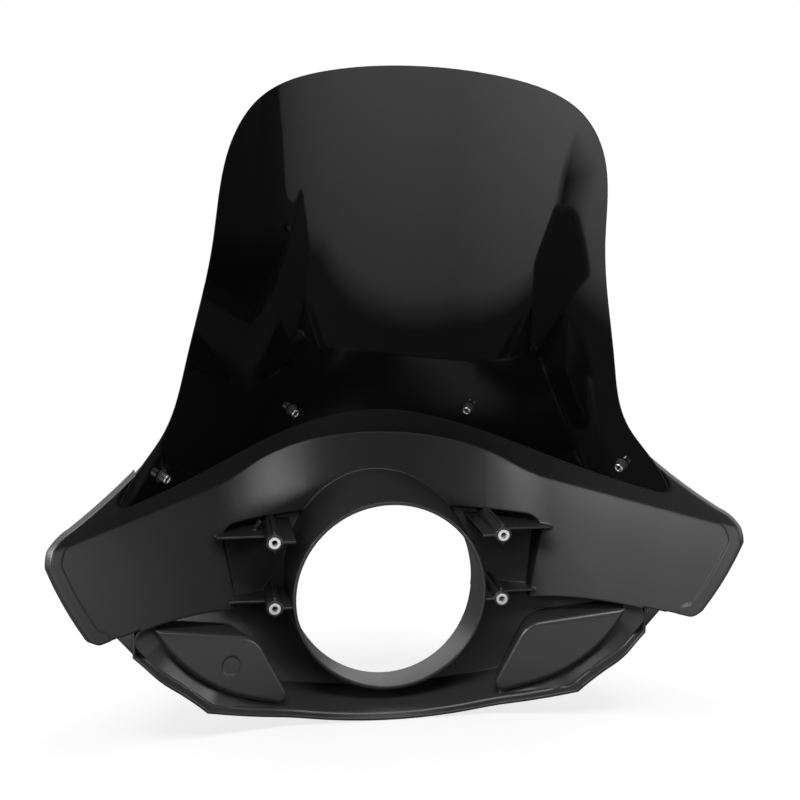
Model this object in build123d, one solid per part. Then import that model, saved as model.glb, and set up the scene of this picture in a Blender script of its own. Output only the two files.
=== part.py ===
from build123d import *
import os
from math import cos, radians, sin, sqrt, tan

# Motorbike headlight cowl with a screen, in millimetres.
# The origin is the middle of the lamp opening, in the plane of its rear rim.
# +X is the rider's right, +Y is forward and +Z is up.

# Lamp opening and its collar
LAMP_R = 82.5  # opening that takes the lamp's trim ring
LAMP_LAND = 14.0  # straight length of the opening, from its rear rim
FLARE_R = 89.0  # opening's radius at the end of its flare
FLARE_DEPTH = 100.0  # depth at which the flare reaches that radius
WALL = 3.0  # moulded wall of the cowl

# Bent sheet that the screen and the cowl's upper flange share, at the screen's rear face
SCREEN_THICK = 3.0
SCREEN_R = 170.0  # bend, across the lean
SCREEN_NOSE = 172.9  # foremost point at Z = 0
SCREEN_SWEEP = 45.4  # angle at which the straight flanks leave the bend
SCREEN_LEAN = -0.54  # travel along Y for each millimetre up
SCREEN_GAP = 0.3  # between the screen and the flange
FLANGE_SEAT = SCREEN_THICK + SCREEN_GAP  # flange's inner face, from the screen's rear face

# Brow and wing face below the ridge, at its inner face
BROW_R = 212.0
BROW_NOSE = 77.1
BROW_SWEEP = 45.6
BROW_LEAN = 0.25
RIDGE_R = 3.0  # inner rounding of the ridge between flange and brow

# Front wall of the nacelle and the chin, at its inner face
FRONT_R = 409.0
FRONT_NOSE = 67.5
FRONT_SWEEP = 43.0
FRONT_LEAN = 0.4

# Outline of the flange, seen from behind, as (x, z) on the right side
FLANGE_TOP_Z = 182.0
FLANGE_TOP_R = 503.0
LEDGE_Z = 0.0
LEDGE_END_X = 225.0
LEDGE_BEND = (178.0, -1.5)
LEDGE_INNER = (136.0, -11.0)

# Outline of the wings, square to their sheet, as (run, z): run is the distance out along the flank
WING_TOP = ((166.0, 144.0), (206.0, 114.0), (242.0, 93.5))
WING_TIP = (257.5, 83.0)
WING_OUTER = ((264.0, 67.0), (251.5, 34.0), (237.5, 7.0))
WING_FOOT = ((234.0, 2.5), (228.0, 0.0))
LIP_WIDTH = 2.5  # return lip along the wing's edge
LIP_HEIGHT = 3.5
LIP_START_X = 214.0
BORDER_WIDTH = 10.0  # raised border inside the wing's edge, below the ridge
BORDER_RISE = 0.8

# Outline of the screen, as (x, z) on the right side
SCREEN_TOP_Z = 443.0
SCREEN_LOW_Z = 151.0
SCREEN_CORNER = (228.0, 100.0)
SCREEN_CORNER_R = 5.0
SCREEN_SIDE = ((210.0, 132.0), (192.0, 157.0), (173.0, 216.0), (151.5, 312.0), (137.5, 384.0))
SCREEN_TOP = ((118.0, 413.0), (65.0, 436.5))
SCREEN_LOW = ((147.0, 118.0), (87.0, 136.0))

# Chin tub: outlines at a rear and a front plane, as (x, z) on the right side
TUB_REAR_Y = -75.0
TUB_FRONT_Y = 70.0
TUB_REAR = {"end": (229.0, -33.0), "side": (197.0, -57.5), "corner": (166.5, -84.0), "low": -106.0}
TUB_FRONT = {"end": (185.2, -10.0), "side": (167.5, -19.9), "corner": (135.3, -61.3), "low": -91.0}
TUB_TOP_Z = 25.0

# Rear rim of the chin in plan, as (x, y) on the right side, with a shallow step inside it
RIM_BOW = (88.0, -28.0)
RIM_BOW_R = 120.0
RIM_HEEL = (197.0, -51.0)
RIM_HEEL_R = 26.0
RIM_SLOPE = 0.38  # travel forward for each millimetre out from the heel
RIM_STEP = 1.0
RIM_STEP_DEPTH = 7.0

# Nacelle cheeks beside the lamp, as (x, z) on the right side
CHEEK_LOW = (129.5, -45.0)
CHEEK_HIGH = (150.0, 62.0)
CHEEK_R = 14.0

# Scoop panels below the wings, recessed from outside
SCOOP_Y = 22.6  # panel's inner face at X = 0 and Z = 0
SCOOP_SLOPE = -0.326  # travel along Y for each millimetre out
SCOOP_LEAN = 0.138  # travel along Y for each millimetre up
SCOOP_TOP_OUTER = (211.1, -5.0)  # outline on the panel's own plane
SCOOP_TOP_INNER = (124.5, -23.5)
SCOOP_LOW_INNER = (92.2, -90.1)
SCOOP_LOW_OUTER = (131.6, -76.7)
SCOOP_TOP_R = 25.0
SCOOP_LOW_R = 7.3
SCOOP_EDGE_R = 4.0
GATE_PLACE = (148.4, -44.5)  # moulding's gate mark, on the left panel
GATE_R = 8.0
GATE_DEPTH = 0.8

# Bracket bosses beside the lamp
BOSS_X = 100.8
BOSS_HIGH_Z = 51.6
BOSS_LOW_Z = -7.1
BOSS_FACE_Y = 2.0
BOSS_R = 7.2
WEB_THICK = 2.2
WEB_SETBACK = 20.0  # outer webs stand this far ahead of the bosses' faces
RIB_HALF = 9.5  # half height of a boss's upright rib
PEG_PLACE = (-117.0, 44.0)  # moulding peg on the left upper web, as (x, y)
PEG_R = 2.6
PEG_LENGTH = 11.0
PEG_TILT = 40.0

# Threaded inserts of the bosses, for M6
INSERT_R = 5.2
INSERT_BORE_R = 2.5
INSERT_LENGTH = 14.0
INSERT_PROUD = 0.8
INSERT_FIT = 0.05

# Fasteners of the screen, M4
SCREW_PLACES = ((81.4, 156.3), (194.1, 121.7))  # (x, z) on the right side of the screen's rear face
SCREW_R = 2.0
SCREW_HOLE_R = 2.25
SCREW_HOLE_REACH = 24.0  # drill's reach each way from the screen's rear face
SCREW_HEAD_R = 4.2
SCREW_HEAD_H = 2.4
SCREW_CROWN = 1.2  # slope round the head
SCREW_SOCKET_R = 1.45
SCREW_SOCKET_DEPTH = 1.4
WASHER_R = 5.6
WASHER_HOLE_R = 2.3
WASHER_THICK = 1.0
SLEEVE_R = 3.9
SLEEVE_BORE_R = 2.1
SLEEVE_LENGTH = 6.5
SLEEVE_CHAMFER = 0.5
THREAD_ENGAGE = 4.0  # screw's length inside its sleeve
SEAT_GAP = 0.12  # flat seats on the bent sheets

# Extent of the bodies that are trimmed to shape
BODY_HALF_WIDTH = 330.0
BODY_HALF_HEIGHT = 620.0
BODY_DEPTH = 700.0


def mirrored(point):
    """The same (x, z) point on the left side."""
    return (-point[0], point[1])


def leaning_body(radius, nose, sweep, lean):
    """Everything behind a bent sheet: an arc with straight flanks, drawn along a leaning line."""
    half = radians(sweep)
    end_x = radius * sin(half)
    end_y = -radius * (1 - cos(half))
    far_y = end_y - (BODY_HALF_WIDTH - end_x) * tan(half)
    back_y = far_y - BODY_DEPTH
    edges = [
        Line((-BODY_HALF_WIDTH, far_y), (-end_x, end_y)),
        ThreePointArc((-end_x, end_y), (0, 0), (end_x, end_y)),
        Line((end_x, end_y), (BODY_HALF_WIDTH, far_y)),
        Polyline(
            (BODY_HALF_WIDTH, far_y),
            (BODY_HALF_WIDTH, back_y),
            (-BODY_HALF_WIDTH, back_y),
            (-BODY_HALF_WIDTH, far_y),
        ),
    ]
    across = Plane(origin=nose, x_dir=(1, 0, 0), z_dir=(0, lean, 1))
    return extrude(across * make_face(edges), amount=BODY_HALF_HEIGHT, both=True)


def ahead(lean, y, grow):
    """Nose of a leaning sheet at Z = 0, moved forward by grow along the sheet's normal."""
    unit = Vector(0, 1, -lean).normalized()
    return Vector(0, y, 0) + unit * grow


def screen_body(grow):
    """Everything behind the screen's rear face, moved forward by grow."""
    nose = ahead(SCREEN_LEAN, SCREEN_NOSE, grow)
    return leaning_body(SCREEN_R + grow, nose, SCREEN_SWEEP, SCREEN_LEAN)


def brow_body(grow):
    """Everything behind the inner face of the brow and wings, moved forward by grow."""
    nose = ahead(BROW_LEAN, BROW_NOSE, grow)
    return leaning_body(BROW_R + grow, nose, BROW_SWEEP, BROW_LEAN)


def front_body(grow):
    """Everything behind the inner face of the nacelle and chin, moved forward by grow."""
    nose = ahead(FRONT_LEAN, FRONT_NOSE, grow)
    return leaning_body(FRONT_R + grow, nose, FRONT_SWEEP, FRONT_LEAN)


def front_prism(sketch):
    """A (x, z) sketch drawn through the whole depth."""
    return extrude(Plane.XZ * sketch, amount=BODY_DEPTH, both=True)


def ledge_edges(drop):
    """Lower edge of the wings and top of the chin's ledge, from right to left."""
    start = (LEDGE_END_X, LEDGE_Z - drop)
    bend = (LEDGE_BEND[0], LEDGE_BEND[1] - drop)
    inner = (LEDGE_INNER[0], LEDGE_INNER[1] - drop)
    return [
        ThreePointArc(start, bend, inner),
        Line(inner, mirrored(inner)),
        ThreePointArc(mirrored(inner), mirrored(bend), mirrored(start)),
    ]


def above_ledge(drop):
    """Everything above the ledge, lowered by drop."""
    low = LEDGE_Z - drop
    edges = [
        *ledge_edges(drop),
        Polyline(
            (-LEDGE_END_X, low),
            (-BODY_HALF_WIDTH, low),
            (-BODY_HALF_WIDTH, BODY_HALF_HEIGHT),
            (BODY_HALF_WIDTH, BODY_HALF_HEIGHT),
            (BODY_HALF_WIDTH, low),
            (LEDGE_END_X, low),
        ),
    ]
    return front_prism(make_face(edges))


def ridge_body(grow, rise=0):
    """Everything behind the flange and brow, their ridge rounded, with the brow drawn in by rise."""
    flange = screen_body(FLANGE_SEAT + grow)
    brow = brow_body(grow - rise)
    body = flange & brow
    ridge = new_edges(flange, brow, combined=body)
    ridge = ridge.filter_by_position(Axis.Y, -BODY_HALF_WIDTH, BODY_HALF_WIDTH)
    return fillet(ridge, RIDGE_R + grow)


def wing_side(inset):
    """Everything within the right wing's edge, drawn in by inset."""
    last = WING_FOOT[-1]
    edges = [
        ThreePointArc(*WING_TOP),
        ThreePointArc(WING_TOP[-1], WING_TIP, WING_OUTER[0]),
        ThreePointArc(*WING_OUTER),
        ThreePointArc(WING_OUTER[-1], *WING_FOOT),
        Polyline(
            last,
            (last[0], -BODY_HALF_HEIGHT),
            (-BODY_DEPTH, -BODY_HALF_HEIGHT),
            (-BODY_DEPTH, BODY_HALF_HEIGHT),
            (WING_TOP[0][0], BODY_HALF_HEIGHT),
            WING_TOP[0],
        ),
    ]
    region = make_face(edges)
    if inset:
        region = offset(region, -inset)
    half = radians(BROW_SWEEP)
    square = Plane(origin=(0, 0, 0), x_dir=(cos(half), -sin(half), 0), z_dir=(-sin(half), -cos(half), 0))
    return extrude(square * region, amount=BODY_DEPTH, both=True)


def wing_span(inset):
    """Everything within both wings' edges."""
    right, left = both_sides(wing_side(inset))
    return right & left


def wing_solid():
    """Flange and wings as a full body, with the return lip along the wings' edges."""
    top = front_prism(Pos(0, FLANGE_TOP_Z - FLANGE_TOP_R) * Circle(FLANGE_TOP_R))
    body = ridge_body(WALL) & top
    lip = ridge_body(WALL + LIP_HEIGHT) - wing_span(LIP_WIDTH)
    lip = lip - Box(2 * LIP_START_X, 2 * BODY_DEPTH, 2 * BODY_HALF_HEIGHT)
    return (body + lip) & wing_span(0) & above_ledge(0)


def wing_hollow():
    """Space behind the flange and wings, stepped for the border along the wings' edges."""
    deep = ridge_body(0) & wing_span(BORDER_WIDTH)
    border = ridge_body(0, BORDER_RISE)
    return (deep + border) & above_ledge(WALL)


def tub_face(outline, y, inset):
    """Cross section of the chin tub, drawn in by inset."""
    end = outline["end"]
    side = outline["side"]
    corner = outline["corner"]
    edges = [
        ThreePointArc(end, side, corner),
        ThreePointArc(corner, (0, outline["low"]), mirrored(corner)),
        ThreePointArc(mirrored(corner), mirrored(side), mirrored(end)),
        Polyline(mirrored(end), (-end[0], TUB_TOP_Z), (end[0], TUB_TOP_Z), end),
    ]
    section = make_face(edges)
    if inset:
        section = offset(section, -inset)
    return (Plane.XZ.offset(-y) * section).face()


def tub_body(inset):
    """Chin tub between its two outlines, open fore and aft."""
    rear = tub_face(TUB_REAR, TUB_REAR_Y, inset)
    front = tub_face(TUB_FRONT, TUB_FRONT_Y, inset)
    return Solid.make_loft([rear.outer_wire(), front.outer_wire()], ruled=True)


def behind_rim(shift):
    """Everything behind the chin's rear rim, moved forward by shift."""
    end_y = RIM_HEEL[1] + RIM_SLOPE * (BODY_HALF_WIDTH - RIM_HEEL[0])
    right = [(BODY_HALF_WIDTH, end_y), RIM_HEEL, RIM_BOW]
    left = [mirrored(point) for point in reversed(right)]
    edges = [
        FilletPolyline(*right, *left, radius=[RIM_HEEL_R, RIM_BOW_R, RIM_BOW_R, RIM_HEEL_R]),
        Polyline(left[-1], (-BODY_HALF_WIDTH, -BODY_DEPTH), (BODY_HALF_WIDTH, -BODY_DEPTH), right[0]),
    ]
    return Pos(0, shift, 0) * extrude(make_face(edges), amount=BODY_HALF_HEIGHT, both=True)


def chin_solid():
    """Chin and ledge as a full body, cut back to the rear rim below the ledge."""
    body = tub_body(0) & front_body(WALL)
    body = body - above_ledge(0)
    return body - (behind_rim(0) - above_ledge(WALL))


def chin_hollow():
    """Space inside the chin, stepped along the rear rim."""
    room = tub_body(WALL) + (tub_body(WALL - RIM_STEP) & behind_rim(RIM_STEP_DEPTH))
    return (room & front_body(0)) - above_ledge(WALL)


def cheek_sketch():
    """Outline of the nacelle around the lamp."""
    corners = Polyline(CHEEK_LOW, CHEEK_HIGH, mirrored(CHEEK_HIGH), mirrored(CHEEK_LOW), CHEEK_LOW)
    outline = make_face(corners)
    return fillet(outline.vertices().group_by(Axis.Y)[-1], CHEEK_R)


def cheek_body(grow, inset):
    """Nacelle around the lamp, up to its front wall."""
    outline = cheek_sketch()
    if inset:
        outline = offset(outline, -inset)
    return front_body(grow) & front_prism(outline)


def collar_profile(grow):
    """Half section of the lamp opening about the Y axis, grown outwards."""
    land_r = LAMP_R + grow
    slope = (FLARE_R - LAMP_R) / (FLARE_DEPTH - LAMP_LAND)
    far = 2 * FLARE_DEPTH
    far_r = land_r + slope * (far - LAMP_LAND)
    return make_face(
        Polyline((0, 0), (land_r, 0), (land_r, LAMP_LAND), (far_r, far), (0, far), (0, 0))
    )


def collar_body(grow):
    """Round body of the lamp opening."""
    return revolve(collar_profile(grow), axis=Axis.Y)


def scoop_sketch():
    """Outline of the right scoop panel."""
    top = FilletPolyline(
        SCOOP_TOP_OUTER,
        SCOOP_TOP_INNER,
        SCOOP_LOW_INNER,
        SCOOP_LOW_OUTER,
        radius=[SCOOP_TOP_R, SCOOP_LOW_R],
    )
    along = Vector(*SCOOP_LOW_OUTER) - Vector(*SCOOP_LOW_INNER)
    return make_face([top, TangentArc(SCOOP_LOW_OUTER, SCOOP_TOP_OUTER, tangent=along)])


def panel_plane(inset):
    """Plane on the inner face of the right scoop's panel that looks back, moved forward by inset."""
    face = Plane(origin=(0, SCOOP_Y, 0), x_dir=(1, SCOOP_SLOPE, 0), z_dir=(SCOOP_SLOPE, -1, SCOOP_LEAN))
    return face.offset(-inset)


def scoop_body(inset):
    """Room that the right scoop takes, or with no inset that room and its wall."""
    outline = offset(scoop_sketch(), -inset) if inset else scoop_sketch()
    body = extrude(panel_plane(inset) * outline, amount=-BODY_DEPTH)
    if not inset:
        panel = body.faces().sort_by(Axis.Y)[0]
        body = fillet(panel.edges(), SCOOP_EDGE_R)
    return body & tub_body(inset)


def rod(radius, low, high):
    """A plain round bar between two heights."""
    bar = Cylinder(radius, high - low, align=(Align.CENTER, Align.CENTER, Align.MIN))
    return Pos(0, 0, low) * bar


def both_sides(right):
    """A right-hand body and its mirror image."""
    return [right, mirror(right, about=Plane.YZ)]


def boss_places():
    """Middles of the bosses' faces."""
    return [(side * BOSS_X, BOSS_FACE_Y, z) for side in (-1, 1) for z in (BOSS_LOW_Z, BOSS_HIGH_Z)]


def boss_ribs():
    """Bosses with their webs and upright ribs, still too long at the front."""
    ribs = []
    long = 2 * FLARE_DEPTH
    for x, y, z in boss_places():
        side = 1 if x > 0 else -1
        ribs.append(Pos(x, y, z) * Rot(-90, 0, 0) * rod(BOSS_R, 0, long))
        inner = abs(x) - LAMP_R
        ribs.append(Pos(x - side * inner / 2, y + long / 2, z) * Box(inner, long, WEB_THICK))
        outer = CHEEK_HIGH[0] - abs(x)
        web_y = y + WEB_SETBACK + long / 2
        ribs.append(Pos(x + side * outer / 2, web_y, z) * Box(outer, long, WEB_THICK))
        rib_y = y + WEB_THICK + long / 2
        ribs.append(Pos(x, rib_y, z) * Box(WEB_THICK, long, 2 * RIB_HALF))
    return ribs


def moulding_peg():
    """Short peg that leans on the left upper web."""
    peg = rod(PEG_R, 0, PEG_LENGTH)
    return Pos(PEG_PLACE[0], PEG_PLACE[1], BOSS_HIGH_Z) * Rot(0, PEG_TILT, 0) * peg


def gate_mark():
    """Round shallow mark in the rider's side of the left panel."""
    mark = panel_plane(0) * Pos(*GATE_PLACE) * Cylinder(GATE_R, 2 * GATE_DEPTH)
    return mirror(mark, about=Plane.YZ)


def sheet_plane(x, z):
    """Plane on the screen's rear face that looks forward along its normal."""
    half = radians(SCREEN_SWEEP)
    end_x = SCREEN_R * sin(half)
    side = 1 if x > 0 else -1
    if abs(x) < end_x:
        out = abs(x) / SCREEN_R
        back = SCREEN_R * (1 - sqrt(1 - out * out))
    else:
        out = sin(half)
        back = SCREEN_R * (1 - cos(half)) + (abs(x) - end_x) * tan(half)
    across = Vector(0, 1, -SCREEN_LEAN).normalized()
    along = Vector(0, SCREEN_LEAN, 1).normalized()
    run = (z + back * across.Z) / along.Z
    place = Vector(x, SCREEN_NOSE, 0) - across * back + along * run
    normal = Vector(side * out, 0, 0) + across * sqrt(1 - out * out)
    return Plane(origin=place, x_dir=along, z_dir=normal)


def screw_planes():
    """Planes of the four screen screws on the screen's rear face."""
    return [sheet_plane(side * x, z) for side in (-1, 1) for x, z in SCREW_PLACES]


def ring(radius, hole, low, high):
    """A plain ring between two heights."""
    return rod(radius, low, high) - rod(hole, low, high)


def screw_bore(plane, radius):
    """Clearance hole along a screen screw."""
    return plane * rod(radius, -SCREW_HOLE_REACH, SCREW_HOLE_REACH)


def make_shell():
    """Moulded cowl: nose, wings, nacelle, chin, scoops, collar and bosses in one piece."""
    nose = front_body(WALL)
    cheeks = cheek_body(WALL, 0) - behind_rim(0)
    full = wing_solid() + chin_solid() + cheeks
    hollow = wing_hollow() + chin_hollow() + cheek_body(0, WALL)
    for island in both_sides(scoop_body(0)):
        hollow = hollow - island
    for scoop in both_sides(scoop_body(WALL)):
        full = full - scoop
    shell = full - hollow
    shell = shell + (collar_body(WALL) & nose)
    for rib in boss_ribs() + [moulding_peg()]:
        shell = shell + (rib & full)
    shell = shell - collar_body(0)
    for x, y, z in boss_places():
        depth = INSERT_LENGTH - INSERT_PROUD
        hole = Cylinder(INSERT_R + INSERT_FIT, 2 * depth)
        shell = shell - Pos(x, y, z) * Rot(-90, 0, 0) * hole
    for plane in screw_planes():
        shell = shell - screw_bore(plane, SCREW_HOLE_R)
    return shell - gate_mark()


def screen_sketch():
    """Outline of the screen."""
    right = [SCREEN_CORNER, *SCREEN_SIDE, *SCREEN_TOP]
    left = [mirrored(point) for point in reversed(right)]
    low = [*SCREEN_LOW, (0, SCREEN_LOW_Z), *[mirrored(point) for point in reversed(SCREEN_LOW)]]
    over = Spline(*right, (0, SCREEN_TOP_Z), *left)
    under = Spline(SCREEN_CORNER, *low, mirrored(SCREEN_CORNER))
    outline = make_face([over, under])
    corners = outline.vertices().group_by(Axis.Y)[0]
    return fillet(corners, SCREEN_CORNER_R)


def make_screen():
    """Bent screen, one thickness throughout."""
    sheet = screen_body(SCREEN_THICK) - screen_body(0)
    screen = sheet & front_prism(screen_sketch())
    for plane in screw_planes():
        screen = screen - screw_bore(plane, SCREW_HOLE_R)
    return screen


def stack_heights():
    """Heights along a screw, from the screen's rear face forward: washer, sleeve and head seats."""
    washer_rear = -SEAT_GAP - WASHER_THICK
    sleeve_rear = washer_rear - SEAT_GAP - SLEEVE_LENGTH
    head_seat = FLANGE_SEAT + WALL + SEAT_GAP
    return washer_rear, sleeve_rear, head_seat


def make_washers():
    """Soft washers between the screen and the sleeves."""
    washer_rear, _, _ = stack_heights()
    return [plane * ring(WASHER_R, WASHER_HOLE_R, washer_rear, -SEAT_GAP) for plane in screw_planes()]


def make_sleeves():
    """Open threaded sleeves on the rider's side of the screen."""
    washer_rear, sleeve_rear, _ = stack_heights()
    sleeve = ring(SLEEVE_R, SLEEVE_BORE_R, sleeve_rear, washer_rear - SEAT_GAP)
    rims = sleeve.edges().filter_by(GeomType.CIRCLE).group_by(Axis.Z)[0]
    sleeve = chamfer(rims, SLEEVE_CHAMFER)
    return [plane * sleeve for plane in screw_planes()]


def make_screws():
    """Button-head screws from the front, each with a six-sided socket."""
    washer_rear, _, head_seat = stack_heights()
    end = washer_rear - SEAT_GAP - THREAD_ENGAGE
    top = head_seat + SCREW_HEAD_H
    shank = rod(SCREW_R, end, head_seat)
    head = rod(SCREW_HEAD_R, head_seat, top)
    crown = head.edges().filter_by(GeomType.CIRCLE).group_by(Axis.Z)[-1]
    head = chamfer(crown, SCREW_CROWN)
    socket = extrude(Pos(0, 0, top) * RegularPolygon(SCREW_SOCKET_R, 6), amount=-SCREW_SOCKET_DEPTH)
    screw = shank + head - socket
    return [plane * screw for plane in screw_planes()]


def make_inserts():
    """Threaded inserts in the bracket bosses."""
    insert = ring(INSERT_R, INSERT_BORE_R, -INSERT_PROUD, INSERT_LENGTH - INSERT_PROUD)
    return [Pos(*place) * Rot(-90, 0, 0) * insert for place in boss_places()]


def write(name, pieces):
    """Write one node, a single solid or a group of separate ones."""
    solids = [solid for piece in pieces for solid in piece.solids()]
    export_step(Compound(children=solids), os.path.join("parts", name + ".step"))


os.makedirs("parts", exist_ok=True)
write("fairing_shell", [make_shell()])
write("windscreen", [make_screen()])
write("screen_screws", make_screws())
write("screen_washers", make_washers())
write("screen_sleeve_nuts", make_sleeves())
write("mount_inserts", make_inserts())
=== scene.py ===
from math import atan2, cos, degrees, radians, sin

import bpy
from mathutils import Matrix, Vector


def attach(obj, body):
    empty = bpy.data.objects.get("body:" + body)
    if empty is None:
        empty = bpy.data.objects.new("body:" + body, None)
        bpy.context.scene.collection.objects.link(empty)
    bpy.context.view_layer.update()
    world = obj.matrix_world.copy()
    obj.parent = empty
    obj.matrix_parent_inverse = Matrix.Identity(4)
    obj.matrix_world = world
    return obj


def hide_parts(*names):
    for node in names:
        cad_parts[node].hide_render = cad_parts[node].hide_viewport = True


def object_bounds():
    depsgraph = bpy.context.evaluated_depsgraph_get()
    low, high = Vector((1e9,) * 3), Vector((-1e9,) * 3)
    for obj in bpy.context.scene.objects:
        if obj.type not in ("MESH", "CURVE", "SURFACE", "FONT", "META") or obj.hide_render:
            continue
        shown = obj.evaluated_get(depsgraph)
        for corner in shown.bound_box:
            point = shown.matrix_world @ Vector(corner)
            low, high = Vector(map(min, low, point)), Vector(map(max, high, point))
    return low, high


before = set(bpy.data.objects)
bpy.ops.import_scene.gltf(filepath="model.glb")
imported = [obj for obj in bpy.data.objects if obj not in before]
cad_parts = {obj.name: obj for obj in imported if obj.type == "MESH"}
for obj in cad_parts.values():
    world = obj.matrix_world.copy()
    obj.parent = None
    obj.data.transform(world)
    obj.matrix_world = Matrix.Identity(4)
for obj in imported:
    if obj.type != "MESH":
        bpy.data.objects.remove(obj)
CAD_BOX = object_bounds()
MM = 0.001

# Camera of the photograph, in its 800 x 800 frame
FRAME_PX = 800
FOCAL_PX = 1200.0
SENSOR_MM = 36.0
CAMERA_YAW = radians(-10.0)
CAMERA_RISE = radians(9.5)
CAMERA_ROLL = radians(-0.8)
LAMP_PX = (390.7, 596.9)
LAMP_R = 82.5 * MM
LAMP_R_PX = 94.4

# Rounding of each piece's edges, and the least fold that counts as an edge
COWL_ROUND = 0.7 * MM
SCREEN_ROUND = 0.6 * MM
INSERT_ROUND = 0.3 * MM
SLEEVE_ROUND = 0.15 * MM
SCREW_ROUND = 0.2 * MM
WASHER_ROUND = 0.25 * MM
EDGE_FOLD = radians(38)
SCREEN_FOLD = radians(50)
SMOOTH_FOLD = radians(35)
MERGE_GAP = 0.002 * MM

# Plane of the right scoop panel, and the sloping strip between it and the chin's rim
PANEL_Y = 22.6 * MM
PANEL_SLOPE = -0.326
PANEL_LEAN = 0.138
STRIP_AXIS = (87.9 * MM, 51.7 * MM)  # on the panel's plane
STRIP_FRONT = {"radius": 133.0 * MM, "depth": -9.0 * MM}
STRIP_REAR = {"radius": 147.0 * MM, "depth": -1.5 * MM}
STRIP_SPAN = (-84.0, -23.0)  # degrees about the axis
STRIP_STEPS = 240  # to a full turn
STRIP_WALL = 2.0 * MM

# Ends of the ledge below the right wing's foot, as two corners of a box in metres
LEDGE_END = ((0.203, -0.090, -0.006), (0.240, -0.0515, -0.0007))

# Web beside the chin's right end, as two corners of a box in metres, with its width at the bottom
GUSSET_BOX = ((0.2160, -0.038, -0.0275), (0.2410, -0.035, -0.001))
GUSSET_TOE = 2.5 * MM
GUSSET_ROUND = 0.5 * MM

# Threads of the bracket inserts
INSERT_PLACES = [(x * MM, z * MM) for x in (-100.8, 100.8) for z in (-7.1, 51.6)]
INSERT_FACE_Y = 1.2 * MM
INSERT_BORE_R = 2.5 * MM
THREAD_PITCH = 1.0 * MM
THREAD_TURNS = 9
THREAD_RISE = 0.35 * MM
THREAD_STEPS = 28  # to a turn
THREAD_SIDES = 3

# Floor, and the reach over which its shadow fades to plain white
FLOOR_SIZE = 12.0
FLOOR_Z = CAD_BOX[0].z - 0.5 * MM
FLOOR_TONE = 0.165
FLOOR_LIFT = 0.79
FLOOR_FAR = 0.55  # light that the far floor gives to the object
SHADOW_REACH = (0.45, 0.95)

# White sheet on the floor, as the screen mirrors it: edges as (x, y, slope) in metres. Mirrors see it as
# glowing colour with painted light and shade on it.
SHEET_EDGE = -0.125
SHEET_RIGHT = (0.311, -0.124, 0.426)
SHEET_LEFT = (-0.101, -0.121, 0.25)
SHEET_FAR = (-0.325, 0.010, 0.456)
SHEET_SOFT = 0.05
SHEET_REACH = (0.95, 1.20)
# painted shade: the sheet's glowing level at its edge nearest the object, darker than further off
SHEET_NEAR_SHADE = 0.50
SHEET_PAINTED_LIGHT_GROWTH = (2.0, 1.5)  # growth of the painted light to each metre back and to the left

# Room: its dim level, its dim floor, and where the white wall ahead begins and is full
ROOM_LEVEL = 0.25
ROOM_FLOOR = 0.10
WALL_EDGE = (-0.05, 0.30)

# Soft boxes, in metres and watts
LEFT_BOX = {
    "place": (-0.90, -0.30, 0.44),
    "target": (0.15, 0, 0.07),
    "width": 0.50,
    "height": 0.26,
    "power": 8.8,
}
RIGHT_BOX = {
    "place": (0.95, -0.57, 0.23),
    "target": (-0.10, 0, 0.10),
    "width": 0.56,
    "height": 0.20,
    "power": 2.7,
}
TOP_BOX = {
    "place": (0, -0.40, 1.70),
    "target": (0, 0, 0),
    "width": 1.4,
    "height": 1.0,
    "power": 42,
}


class Wire:
    """A shader socket that takes part in arithmetic."""

    def __init__(self, finish, socket):
        self.finish = finish
        self.socket = socket

    def maths(self, operation, first, second):
        return self.finish.node("ShaderNodeMath", {"operation": operation}, {0: first, 1: second})

    def __add__(self, other):
        return self.maths("ADD", self, other)

    def __radd__(self, other):
        return self.maths("ADD", other, self)

    def __sub__(self, other):
        return self.maths("SUBTRACT", self, other)

    def __rsub__(self, other):
        return self.maths("SUBTRACT", other, self)

    def __mul__(self, other):
        return self.maths("MULTIPLY", self, other)

    def __rmul__(self, other):
        return self.maths("MULTIPLY", other, self)

    def least(self, other):
        return self.maths("MINIMUM", self, other)

    def most(self, other):
        return self.maths("MAXIMUM", self, other)


class Finish:
    """The nodes of a material or a world, added one by one."""

    def __init__(self, owner):
        self.owner = owner
        owner.use_nodes = True
        self.tree = owner.node_tree
        self.tree.nodes.clear()

    def node(self, kind, settings=None, sockets=None, output=0):
        """Add a node, give it its settings and then its sockets, and return one of its outputs."""
        made = self.tree.nodes.new(kind)
        for name, value in (settings or {}).items():
            setattr(made, name, value)
        for name, value in (sockets or {}).items():
            if isinstance(value, Wire):
                self.tree.links.new(value.socket, made.inputs[name])
            else:
                made.inputs[name].default_value = value
        return Wire(self, made.outputs[output]) if made.outputs else made

    def place(self):
        """The surface point in the object's own coordinates."""
        return self.node("ShaderNodeTexCoord", output="Object")

    def reach(self):
        """Distance of the surface point from the object's origin."""
        return self.node("ShaderNodeVectorMath", {"operation": "LENGTH"}, {0: self.place()}, output="Value")

    def noise(self, scale, detail=2.0, roughness=0.5):
        """Noise between 0 and 1, with scale in cells to the metre."""
        sockets = {"Vector": self.place(), "Scale": scale, "Detail": detail, "Roughness": roughness}
        return self.node("ShaderNodeTexNoise", {"noise_dimensions": "3D"}, sockets, output="Fac")

    def rounded(self, radius, samples):
        """A normal that turns softly over edges."""
        return self.node("ShaderNodeBevel", {"samples": samples}, {"Radius": radius})

    def blend(self, factor, first, second):
        """A colour between two colours."""
        settings = {"data_type": "RGBA"}
        return self.node("ShaderNodeMix", settings, {"Factor": factor, 6: first, 7: second}, output=2)

    def ray(self, kind):
        """1 where the surface is met by that kind of ray, and 0 elsewhere."""
        return self.node("ShaderNodeLightPath", output=kind)

    def end(self, sockets):
        """Close the material with one principled shader."""
        shader = self.node("ShaderNodeBsdfPrincipled", None, sockets)
        self.node("ShaderNodeOutputMaterial", None, {"Surface": shader})
        return self.owner


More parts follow.
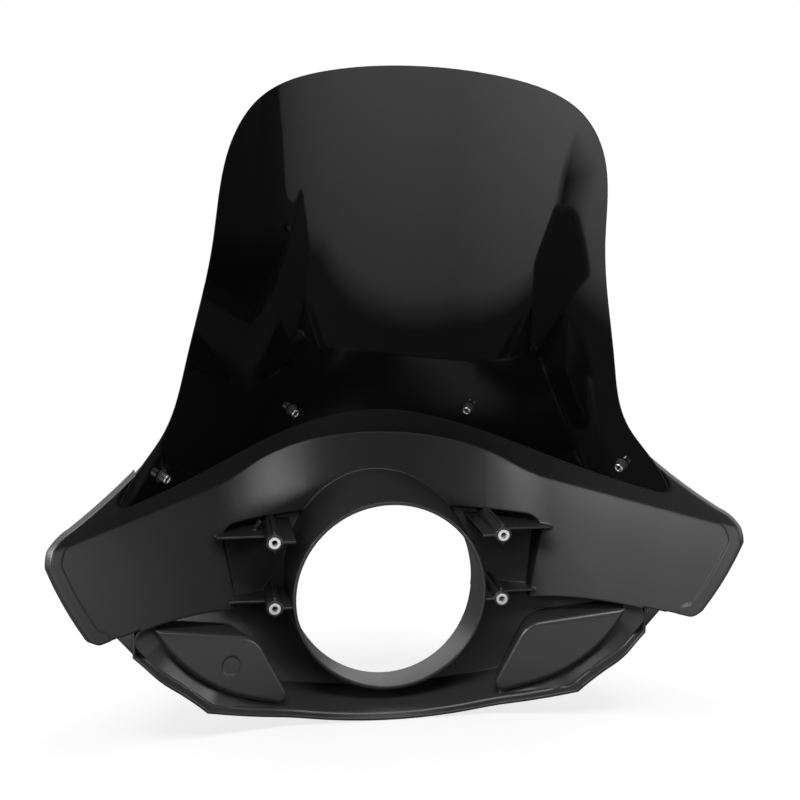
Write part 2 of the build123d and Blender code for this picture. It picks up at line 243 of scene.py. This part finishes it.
def new_finish(name):
    """The nodes of a new material."""
    return Finish(bpy.data.materials.new(name))


def moulded_plastic():
    """Black moulded plastic with a fine satin grain."""
    finish = new_finish("moulded_plastic")
    grain = finish.noise(1400.0, 3.0, 0.6)
    clouds = finish.noise(18.0, 3.0, 0.55)
    bump = {"Height": grain, "Distance": 0.05 * MM, "Strength": 0.35, "Normal": finish.rounded(2.4 * MM, 8)}
    return finish.end({
        "Base Color": finish.blend(clouds, (0.020, 0.020, 0.0205, 1), (0.025, 0.025, 0.0255, 1)),
        "Roughness": 0.27 + 0.08 * clouds,
        "Normal": finish.node("ShaderNodeBump", None, bump),
        "IOR": 1.5,
    })


def smoked_acrylic():
    """Polished smoked sheet, so dark that nothing shows through."""
    finish = new_finish("smoked_acrylic")
    haze = finish.noise(26.0, 3.0, 0.6)
    return finish.end({
        "Base Color": finish.blend(haze, (0.0025, 0.0025, 0.003, 1), (0.004, 0.004, 0.0045, 1)),
        "Roughness": 0.03 + 0.03 * haze,
        "Normal": finish.rounded(0.8 * MM, 6),
        "IOR": 1.49,
    })


def plated_steel():
    """Bright plated metal."""
    finish = new_finish("plated_steel")
    spots = finish.noise(900.0, 3.0)
    return finish.end({
        "Base Color": finish.blend(spots, (0.55, 0.55, 0.55, 1), (0.72, 0.72, 0.72, 1)),
        "Metallic": 1.0,
        "Roughness": 0.22 + 0.16 * spots,
    })


def black_steel():
    """Blackened screw steel."""
    finish = new_finish("black_steel")
    spots = finish.noise(700.0, 3.0)
    return finish.end({
        "Base Color": finish.blend(spots, (0.03, 0.03, 0.032, 1), (0.06, 0.06, 0.062, 1)),
        "Metallic": 1.0,
        "Roughness": 0.3 + 0.2 * spots,
    })


def soft_rubber():
    """Black rubber of the washers."""
    finish = new_finish("soft_rubber")
    spots = finish.noise(600.0)
    return finish.end({
        "Base Color": finish.blend(spots, (0.008, 0.008, 0.008, 1), (0.014, 0.014, 0.014, 1)),
        "Roughness": 0.6 + 0.2 * spots,
    })


def only(piece):
    """Make one piece the selected and active one."""
    bpy.ops.object.select_all(action="DESELECT")
    piece.select_set(True)
    bpy.context.view_layer.objects.active = piece


def settle(piece):
    """Put a piece's place and turn into its mesh."""
    only(piece)
    bpy.ops.object.transform_apply(location=True, rotation=True, scale=True)


def pick(piece, kind, wanted):
    """Go into edit mode with only the wanted corners or faces selected."""
    only(piece)
    bpy.ops.object.mode_set(mode="EDIT")
    bpy.ops.mesh.select_mode(type=kind)
    bpy.ops.mesh.select_all(action="DESELECT")
    bpy.ops.object.mode_set(mode="OBJECT")
    for part in piece.data.vertices if kind == "VERT" else piece.data.polygons:
        part.select = wanted(part)
    bpy.ops.object.mode_set(mode="EDIT")


def turn_outward(piece, hole_sides=None):
    """Turn a piece's faces outward, and close holes with up to that many sides first."""
    only(piece)
    bpy.ops.object.mode_set(mode="EDIT")
    bpy.ops.mesh.select_all(action="SELECT")
    if hole_sides:
        bpy.ops.mesh.fill_holes(sides=hole_sides)
    bpy.ops.mesh.normals_make_consistent(inside=False)
    bpy.ops.object.mode_set(mode="OBJECT")


def apply_modifier(piece, kind, **settings):
    """Add a modifier with its settings and apply it."""
    modifier = piece.modifiers.new(kind.lower(), kind)
    for name, value in settings.items():
        setattr(modifier, name, value)
    only(piece)
    bpy.ops.object.modifier_apply(modifier=modifier.name)


def finish_piece(piece, name, material):
    """Name a new piece, give it its material and let it ride on the part."""
    piece.name = name
    piece.data.materials.clear()
    piece.data.materials.append(material)
    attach(piece, "root")


def smooth_copy(node, name, material, edge, fold=EDGE_FOLD, cutter=None):
    """A merged copy of a CAD node with smooth faces and small rounded edges, shown in its place."""
    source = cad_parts[node]
    piece = bpy.data.objects.new(name, source.data.copy())
    bpy.context.scene.collection.objects.link(piece)
    piece.matrix_world = source.matrix_world
    settle(piece)
    bpy.ops.object.mode_set(mode="EDIT")
    bpy.ops.mesh.select_all(action="SELECT")
    bpy.ops.mesh.remove_doubles(threshold=MERGE_GAP)
    bpy.ops.object.mode_set(mode="OBJECT")
    if cutter:
        apply_modifier(piece, "BOOLEAN", object=cutter, operation="DIFFERENCE", solver="EXACT")
        bpy.data.objects.remove(cutter)
    apply_modifier(piece, "BEVEL", width=edge, segments=2, limit_method="ANGLE", angle_limit=fold)
    bpy.ops.object.shade_smooth_by_angle(angle=SMOOTH_FOLD)
    apply_modifier(piece, "WEIGHTED_NORMAL", keep_sharp=True)
    finish_piece(piece, name, material)
    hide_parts(node)
    return piece


def plain_box(low, high):
    """A box between two corners."""
    low, high = Vector(low), Vector(high)
    bpy.ops.object.select_all(action="DESELECT")
    bpy.ops.mesh.primitive_cube_add(size=1)
    bpy.ops.transform.resize(value=high - low)
    bpy.ops.transform.translate(value=(low + high) / 2)
    bpy.ops.object.transform_apply(location=True, rotation=True, scale=True)
    return bpy.context.object


def ledge_cutter():
    """Boxes that take the ledge's ends off below the wings' feet."""
    piece = plain_box(*LEDGE_END)
    apply_modifier(piece, "MIRROR", use_mirror_merge=False)
    return piece


def panel_frame():
    """Frame on the right panel's inner face: along it, up it and back from it."""
    back = Vector((PANEL_SLOPE, -1, PANEL_LEAN)).normalized()
    along = Vector((1, PANEL_SLOPE, 0)).normalized()
    turn = Matrix((along, back.cross(along), back)).transposed().to_4x4()
    return Matrix.Translation((0, PANEL_Y, 0)) @ turn


def outside_strip(face):
    """Whether a face of the whole cone lies outside the strip's span."""
    angle = degrees(atan2(face.center.y, face.center.x))
    return not STRIP_SPAN[0] < angle < STRIP_SPAN[1]


def chin_strips(cowl, material):
    """Sloping strips that join the scoop panels to the chin's rim, as bands of a cone."""
    depth = STRIP_REAR["depth"] - STRIP_FRONT["depth"]
    bpy.ops.object.select_all(action="DESELECT")
    bpy.ops.mesh.primitive_cone_add(
        vertices=STRIP_STEPS,
        radius1=STRIP_FRONT["radius"],
        radius2=STRIP_REAR["radius"],
        depth=depth,
        end_fill_type="NOTHING",
    )
    piece = bpy.context.object
    pick(piece, "FACE", outside_strip)
    bpy.ops.mesh.delete(type="FACE")
    bpy.ops.object.mode_set(mode="OBJECT")
    outer = piece.vertex_groups.new(name="outer")
    outer.add([corner.index for corner in piece.data.vertices if corner.co.z > 0], 1.0, "REPLACE")
    middle = Matrix.Translation((*STRIP_AXIS, STRIP_FRONT["depth"] + depth / 2))
    piece.matrix_world = panel_frame() @ middle
    settle(piece)
    apply_modifier(piece, "MIRROR", use_mirror_merge=False)
    apply_modifier(piece, "SHRINKWRAP", target=cowl, vertex_group="outer")
    turn_outward(piece)
    if piece.data.polygons[0].normal.y > 0:
        piece.data.flip_normals()
    apply_modifier(piece, "SOLIDIFY", thickness=STRIP_WALL, offset=-1)
    bpy.ops.object.shade_smooth_by_angle(angle=SMOOTH_FOLD)
    finish_piece(piece, "chin_strips", material)


def chin_gussets(material):
    """Three-cornered webs that run from the chin's ends up behind the wings' feet."""
    piece = plain_box(*GUSSET_BOX)
    low, high = [Vector(corner) for corner in GUSSET_BOX]
    middle = (low + high) / 2
    pick(piece, "VERT", lambda corner: corner.co.x > middle.x and corner.co.z < middle.z)
    bpy.ops.transform.translate(value=(GUSSET_TOE - (high.x - low.x), 0, 0))
    bpy.ops.object.mode_set(mode="OBJECT")
    apply_modifier(piece, "BEVEL", width=GUSSET_ROUND, segments=2)
    apply_modifier(piece, "MIRROR", use_mirror_merge=False)
    bpy.ops.object.shade_smooth_by_angle(angle=SMOOTH_FOLD)
    finish_piece(piece, "chin_gussets", material)


def thread_turns(x, z):
    """Closed thread turns in one insert's bore."""
    bpy.ops.object.select_all(action="DESELECT")
    bpy.ops.mesh.primitive_circle_add(vertices=THREAD_SIDES, radius=THREAD_RISE, fill_type="NOTHING")
    piece = bpy.context.object
    bpy.ops.transform.rotate(value=radians(90), orient_axis="X", center_override=(0, 0, 0))
    bpy.ops.transform.translate(value=(INSERT_BORE_R, 0, 0))
    bpy.ops.object.transform_apply(location=True, rotation=True, scale=True)
    apply_modifier(
        piece,
        "SCREW",
        axis="Z",
        screw_offset=THREAD_PITCH,
        iterations=THREAD_TURNS,
        steps=THREAD_STEPS,
        render_steps=THREAD_STEPS,
        use_normal_calculate=True,
    )
    turn_outward(piece, THREAD_SIDES)
    piece.matrix_world = Matrix.Translation((x, INSERT_FACE_Y, z)) @ Matrix.Rotation(radians(-90), 4, "X")
    settle(piece)
    return piece


def insert_threads(material):
    """Threads in the bores of the bracket inserts, as one piece."""
    threads = [thread_turns(x, z) for x, z in INSERT_PLACES]
    for thread in threads:
        thread.select_set(True)
    bpy.context.view_layer.objects.active = threads[0]
    bpy.ops.object.join()
    bpy.ops.object.shade_smooth_by_angle(angle=SMOOTH_FOLD)
    finish_piece(bpy.context.object, "insert_threads", material)


def camera_axes():
    """Right, up and back of the photograph's camera."""
    back = Vector((
        sin(CAMERA_YAW) * cos(CAMERA_RISE),
        -cos(CAMERA_YAW) * cos(CAMERA_RISE),
        sin(CAMERA_RISE),
    ))
    right = Vector((0, 0, 1)).cross(back).normalized()
    up = back.cross(right)
    turn = Matrix.Rotation(-CAMERA_ROLL, 3, back)
    return turn @ right, turn @ up, back


def add_camera():
    """Camera that puts the lamp opening where the photograph has it."""
    right, up, back = camera_axes()
    reach = FOCAL_PX * LAMP_R / LAMP_R_PX
    across = (LAMP_PX[0] - FRAME_PX / 2) / FOCAL_PX
    down = (LAMP_PX[1] - FRAME_PX / 2) / FOCAL_PX
    place = reach * (back - across * right + down * up)
    data = bpy.data.cameras.new("camera")
    data.sensor_width = SENSOR_MM
    data.lens = FOCAL_PX / FRAME_PX * SENSOR_MM
    data.clip_start = 0.01
    camera = bpy.data.objects.new("camera", data)
    bpy.context.scene.collection.objects.link(camera)
    turn = Matrix((right, up, back)).transposed().to_4x4()
    camera.matrix_world = Matrix.Translation(place) @ turn
    bpy.context.scene.camera = camera


def sheet_and_painted_light(finish):
    """How white the floor is in a mirror: a sheet behind the object with slanting ends, with painted shade
    near the object and painted light growing back and to the left, and a dim room.
    """
    x, y = [finish.node("ShaderNodeSeparateXYZ", None, {0: finish.place()}, output=axis) for axis in "XY"]
    right_end = SHEET_RIGHT[1] + SHEET_RIGHT[2] * (x - SHEET_RIGHT[0])
    near_left = SHEET_LEFT[1] - SHEET_LEFT[2] * (x - SHEET_LEFT[0])
    far_left = SHEET_FAR[1] + SHEET_FAR[2] * (x - SHEET_FAR[0])
    edge = near_left.least(far_left).most(right_end).most(SHEET_EDGE)
    inside = finish.node("ShaderNodeMapRange", None, {
        "Value": edge - y,
        "From Min": 0.0,
        "From Max": SHEET_SOFT,
    })
    # painted light and shade: the sheet glows darker near the object and lighter back and to the left
    painted_light = SHEET_NEAR_SHADE - SHEET_PAINTED_LIGHT_GROWTH[0] * (y - SHEET_EDGE) + SHEET_PAINTED_LIGHT_GROWTH[1] * (SHEET_LEFT[0] - x).most(0.0)
    within = finish.node("ShaderNodeMapRange", None, {
        "Value": finish.reach(),
        "From Min": SHEET_REACH[0],
        "From Max": SHEET_REACH[1],
        "To Min": 1.0,
        "To Max": 0.0,
    })
    return ROOM_FLOOR + inside * within * (painted_light - ROOM_FLOOR)


def white_floor():
    """Pale floor that turns plain white away from the object, and keeps the shadow near it."""
    finish = new_finish("white_floor")
    shown = finish.ray("Is Camera Ray") + finish.ray("Is Transmission Ray")
    lift = finish.node("ShaderNodeEmission", None, {"Color": FLOOR_LIFT * shown})
    matt = finish.node("ShaderNodeBsdfDiffuse", None, {"Color": (FLOOR_TONE, FLOOR_TONE, FLOOR_TONE, 1)})
    near = finish.node("ShaderNodeAddShader", None, {0: matt, 1: lift})
    far = finish.node("ShaderNodeEmission", None, {"Color": FLOOR_FAR + (1 - FLOOR_FAR) * shown})
    fade = finish.node("ShaderNodeMapRange", {"interpolation_type": "SMOOTHSTEP"}, {
        "Value": finish.reach(),
        "From Min": SHADOW_REACH[0],
        "From Max": SHADOW_REACH[1],
    })
    both = finish.node("ShaderNodeMixShader", None, {0: fade, 1: near, 2: far})
    sheet = finish.node("ShaderNodeEmission", None, {"Color": sheet_and_painted_light(finish)})
    floor = finish.node("ShaderNodeMixShader", None, {0: finish.ray("Is Glossy Ray"), 1: both, 2: sheet})
    finish.node("ShaderNodeOutputMaterial", None, {"Surface": floor})
    return finish.owner


def add_floor():
    """Floor under the chin."""
    bpy.ops.object.select_all(action="DESELECT")
    bpy.ops.mesh.primitive_plane_add(size=FLOOR_SIZE, location=(0, 0, FLOOR_Z))
    floor = bpy.context.object
    floor.name = "floor"
    floor.data.materials.append(white_floor())
    return floor


def add_world():
    """Surroundings: a white wall ahead of the object and a dim room behind it."""
    finish = Finish(bpy.data.worlds.new("studio"))
    aim = finish.node("ShaderNodeTexCoord", output="Generated")
    level = finish.node("ShaderNodeMapRange", {"interpolation_type": "SMOOTHSTEP"}, {
        "Value": finish.node("ShaderNodeSeparateXYZ", None, {0: aim}, output="Y"),
        "From Min": WALL_EDGE[0],
        "From Max": WALL_EDGE[1],
        "To Min": ROOM_LEVEL,
        "To Max": 1.0,
    })
    strength = level.most(finish.ray("Is Camera Ray"))
    sky = finish.node("ShaderNodeBackground", None, {"Color": (1, 1, 1, 1), "Strength": strength})
    finish.node("ShaderNodeOutputWorld", None, {"Surface": sky})
    bpy.context.scene.world = finish.owner


def add_softbox(name, place, target, width, height, power, unlit=()):
    """A soft rectangular lamp that looks at a point and leaves out the objects in unlit."""
    data = bpy.data.lights.new(name, "AREA")
    data.shape = "RECTANGLE"
    data.size = width
    data.size_y = height
    data.energy = power
    lamp = bpy.data.objects.new(name, data)
    bpy.context.scene.collection.objects.link(lamp)
    lamp.location = place
    lamp.rotation_euler = (Vector(target) - Vector(place)).to_track_quat("-Z", "Y").to_euler()
    if unlit:
        group = bpy.data.collections.new(name + "_unlit")
        lamp.light_linking.receiver_collection = group
        for piece in unlit:
            group.objects.link(piece)
        for entry in group.collection_objects:
            entry.light_linking.link_state = "EXCLUDE"


plastic = moulded_plastic()
cowl = smooth_copy("fairing_shell", "moulded_cowl", plastic, COWL_ROUND, cutter=ledge_cutter())
chin_strips(cowl, plastic)
chin_gussets(plastic)
screen = smooth_copy("windscreen", "smoked_screen", smoked_acrylic(), SCREEN_ROUND, SCREEN_FOLD)
bright = plated_steel()
smooth_copy("mount_inserts", "bracket_inserts", bright, INSERT_ROUND)
insert_threads(bright)
smooth_copy("screen_sleeve_nuts", "sleeve_nuts", bright, SLEEVE_ROUND)
smooth_copy("screen_screws", "button_screws", black_steel(), SCREW_ROUND)
smooth_copy("screen_washers", "rubber_washers", soft_rubber(), WASHER_ROUND)

add_camera()
side_unlit = (screen, add_floor())
add_world()
add_softbox("left_box", **LEFT_BOX, unlit=side_unlit)
add_softbox("right_box", **RIGHT_BOX, unlit=side_unlit)
add_softbox("top_box", **TOP_BOX)

bpy.context.scene.view_settings.view_transform = "Standard"
